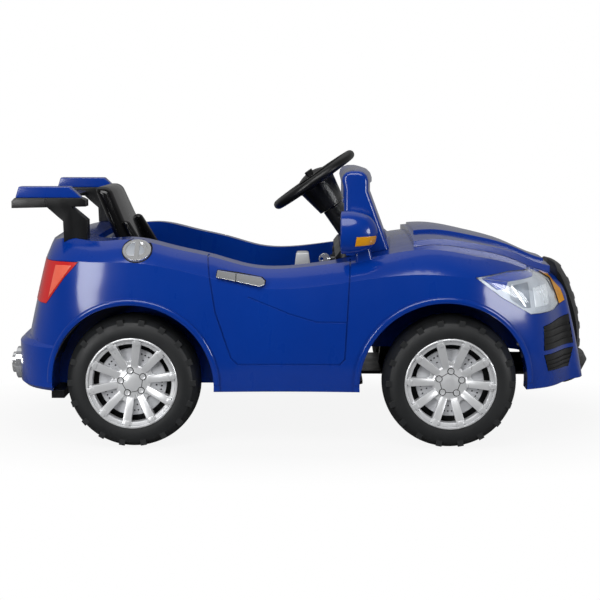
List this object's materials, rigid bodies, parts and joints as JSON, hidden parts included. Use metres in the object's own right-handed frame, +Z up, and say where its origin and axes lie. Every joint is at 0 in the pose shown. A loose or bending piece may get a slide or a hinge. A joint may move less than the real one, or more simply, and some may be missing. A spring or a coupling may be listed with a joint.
{
  "type": "electric ride-on car",
  "caption": "Low open one-seat electric ride-on car for a small child, with steered front wheels, moulded doors, windscreen frame, tail spoiler and working controls.",
  "frame": {"origin": "middle of the bounding box, on the floor under the tyres", "axes": "+X towards the car's front, +Y to its left side, +Z up"},
  "size_m": [1.135, 0.5802, 0.5458],
  "materials": {
    "body_paint": "deep gloss blue paint on moulded plastic",
    "black_plastic": "satin black moulded plastic",
    "tyre": "moulded matte black tread",
    "silver": "silver painted plastic",
    "disc_silver": "silver painted plastic",
    "chrome": "bright plated plastic",
    "clear": "clear plastic",
    "reflector": "metallised reflector",
    "amber": "amber lens",
    "red_lens": "red lens",
    "mirror_glass": "mirror film",
    "steel": "zinc-plated steel",
    "grey_plastic": "grey moulded plastic"
  },
  "bodies": {
    "chassis": {"battery": "grey_plastic", "body_shell": "body_paint", "bonnet": "body_paint", "charging_socket": "black_plastic", "console": "black_plastic", "control_box": "grey_plastic", "dashboard": "black_plastic", "door_handles": "chrome", "drive_motors": "steel", "exhaust_tips": "chrome", "floor_pan": "black_plastic", "fog_grilles": "black_plastic", "front_axle_beam": "black_plastic", "front_lip": "black_plastic", "fuel_cap": "chrome", "gearboxes": "grey_plastic", "grille": "black_plastic", "headlight_housings": "reflector", "headlight_indicators": "amber", "headlight_lenses": "clear", "kingpins": "steel", "mirror_glasses": "mirror_glass", "mirror_housings": "body_paint", "mirror_indicators": "amber", "pan_screws": "steel", "pedal_bracket": "black_plastic", "rear_axle": "steel", "rear_subframe": "black_plastic", "seat": "black_plastic", "spoiler_fins": "body_paint", "spoiler_frame": "black_plastic", "steering_bracket": "black_plastic", "steering_column": "black_plastic", "tail_lights": "red_lens", "windscreen": "clear", "windscreen_frame": "body_paint"},
    "steering": {"steering_shaft": "steel", "steering_wheel": "black_plastic", "steering_hub_pad": "black_plastic", "steering_boss": "black_plastic"},
    "horn_right": {"horn_button_right": "black_plastic"},
    "horn_left": {"horn_button_left": "black_plastic"},
    "track_rod": {"tie_rod": "steel"},
    "right_knuckle": {"knuckle_right": "black_plastic"},
    "left_knuckle": {"knuckle_left": "black_plastic"},
    "pedal": {"accelerator_pedal": "black_plastic"},
    "lever": {"gear_lever": "silver"},
    "key": {"ignition_key": "chrome"},
    "front_right_wheel": {"wheel_front_right": "tyre", "brake_disc_front_right": "disc_silver", "wheel_cover_front_right": "silver"},
    "front_left_wheel": {"wheel_front_left": "tyre", "brake_disc_front_left": "disc_silver", "wheel_cover_front_left": "silver"},
    "rear_right_wheel": {"wheel_rear_right": "tyre", "brake_disc_rear_right": "disc_silver", "wheel_cover_rear_right": "silver"},
    "rear_left_wheel": {"wheel_rear_left": "tyre", "brake_disc_rear_left": "disc_silver", "wheel_cover_rear_left": "silver"}
  },
  "joints": [
    {"name": "steering_turn", "type": "hinge", "parent": "chassis", "child": "steering", "pos_m": [0.017, 0, 0.487], "axis": [-0.5721, 0, 0.8202], "range_deg": [-35, 35]},
    {"name": "right_knuckle_turn", "type": "hinge", "parent": "chassis", "child": "right_knuckle", "pos_m": [0.269, -0.168, 0.125], "axis": [0, 0, 1], "range_deg": [-17.6, 17.6]},
    {"name": "left_knuckle_turn", "type": "hinge", "parent": "chassis", "child": "left_knuckle", "pos_m": [0.269, 0.168, 0.125], "axis": [0, 0, 1], "range_deg": [-17.6, 17.6]},
    {"name": "track_rod_slide", "type": "slide", "parent": "chassis", "child": "track_rod", "axis": [0, 1, 0], "range_m": [-0.0166, 0.0166]},
    {"name": "front_right_wheel_spin", "type": "hinge", "parent": "right_knuckle", "child": "front_right_wheel", "pos_m": [0.269, -0.228, 0.125], "axis": [0, 1, 0], "continuous": true},
    {"name": "front_left_wheel_spin", "type": "hinge", "parent": "left_knuckle", "child": "front_left_wheel", "pos_m": [0.269, 0.228, 0.125], "axis": [0, 1, 0], "continuous": true},
    {"name": "rear_right_wheel_spin", "type": "hinge", "parent": "chassis", "child": "rear_right_wheel", "pos_m": [-0.317, -0.228, 0.125], "axis": [0, 1, 0], "continuous": true},
    {"name": "rear_left_wheel_spin", "type": "hinge", "parent": "chassis", "child": "rear_left_wheel", "pos_m": [-0.317, 0.228, 0.125], "axis": [0, 1, 0], "continuous": true},
    {"name": "horn_right_press", "type": "slide", "parent": "steering", "child": "horn_right", "axis": [0.5721, 0, -0.8202], "range_m": [0, 0.002], "stiffness_N_per_m": 600, "springref_m": -0.001},
    {"name": "horn_left_press", "type": "slide", "parent": "steering", "child": "horn_left", "axis": [0.5721, 0, -0.8202], "range_m": [0, 0.002], "stiffness_N_per_m": 600, "springref_m": -0.001},
    {"name": "pedal_press", "type": "hinge", "parent": "chassis", "child": "pedal", "pos_m": [0, -0.092, 0.133], "axis": [0, 1, 0], "range_deg": [0, 10], "stiffness_Nm_per_rad": 0.8, "springref_deg": -8.59},
    {"name": "lever_swing", "type": "hinge", "parent": "chassis", "child": "lever", "pos_m": [-0.006, 0, 0.235], "axis": [0, 1, 0], "range_deg": [-12, 12]},
    {"name": "key_turn", "type": "hinge", "parent": "chassis", "child": "key", "pos_m": [0.04, -0.1, 0.338], "axis": [1, 0, 0], "range_deg": [0, 60]}
  ],
  "couplings": [
    {"joint": "right_knuckle_turn", "follows": "steering_turn", "ratio": 0.5},
    {"joint": "left_knuckle_turn", "follows": "steering_turn", "ratio": 0.5},
    {"joint": "track_rod_slide", "follows": "steering_turn", "m_per_rad": -0.027074}
  ]
}
